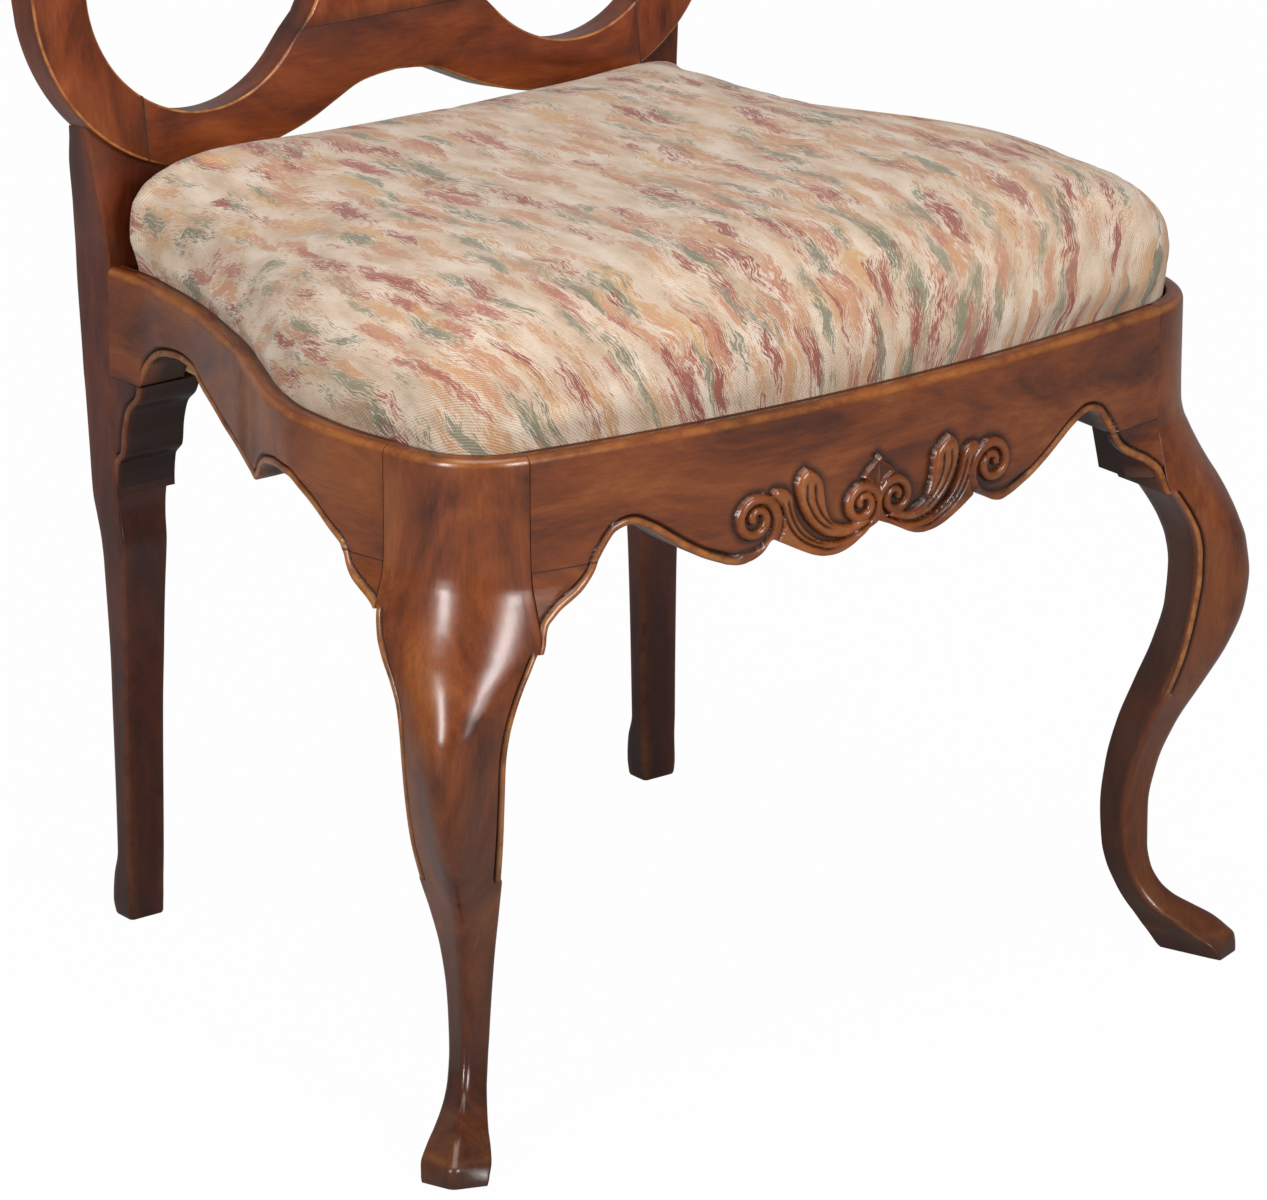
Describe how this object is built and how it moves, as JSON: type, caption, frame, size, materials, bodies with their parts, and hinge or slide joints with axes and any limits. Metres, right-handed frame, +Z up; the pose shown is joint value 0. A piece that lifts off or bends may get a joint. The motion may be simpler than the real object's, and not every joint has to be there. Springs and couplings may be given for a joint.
{
  "type": "balloon back chair",
  "caption": "Side chair with a raked hoop back and vase splat, compass seat with a drop-in tapestry cushion, scalloped carved rails and cabriole front legs.",
  "frame": {"origin": "on the floor under the middle of the whole chair's bounding box", "axes": "+Z up, the chair faces -Y, +X to the right of somebody who looks at its front"},
  "size_m": [0.5806, 0.5392, 1.01],
  "materials": {
    "walnut": "polished reddish brown, satin to gloss",
    "dark_walnut": "polished dark brown, satin",
    "amber_walnut": "polished orange brown, satin",
    "raw_wood": "unfinished beech, matte",
    "steel": "plain steel screws and tacks",
    "tapestry": "cream twill tapestry with feathered streaks of rose, green and ochre",
    "webbing": "woven jute",
    "padding": "cotton felt over foam, matte",
    "dust_cloth": "thin black lining cloth, matte"
  },
  "bodies": {
    "frame": {"front_leg_left": "walnut", "front_leg_right": "walnut", "front_rail": "walnut", "side_rail_left": "walnut", "side_rail_right": "walnut", "front_knee_bracket_left": "walnut", "front_knee_bracket_right": "walnut", "side_knee_bracket_left": "walnut", "side_knee_bracket_right": "walnut", "rear_post_left": "dark_walnut", "rear_post_right": "dark_walnut", "rear_rail": "dark_walnut", "rear_bracket_left": "dark_walnut", "rear_bracket_right": "dark_walnut", "back_stile_left": "amber_walnut", "back_stile_right": "amber_walnut", "back_lower_rail": "amber_walnut", "splat": "amber_walnut", "crest_rail": "amber_walnut", "rear_batten": "raw_wood", "back_dowels": "raw_wood", "front_corner_block_left": "raw_wood", "front_corner_block_right": "raw_wood", "rear_corner_block_left": "raw_wood", "rear_corner_block_right": "raw_wood", "corner_block_screws": "steel"},
    "seat": {"seat_frame_front": "raw_wood", "seat_frame_rear": "raw_wood", "seat_frame_left": "raw_wood", "seat_frame_right": "raw_wood", "seat_frame_dowels": "raw_wood", "webbing_front_to_back": "webbing", "webbing_side_to_side": "webbing", "seat_pad": "padding", "seat_cover": "tapestry", "dust_cover": "dust_cloth", "cover_tacks": "steel"}
  },
  "joints": [
    {"name": "seat_lift", "type": "slide", "parent": "frame", "child": "seat", "axis": [0, 0, 1], "range_m": [0, 0.12]}
  ]
}
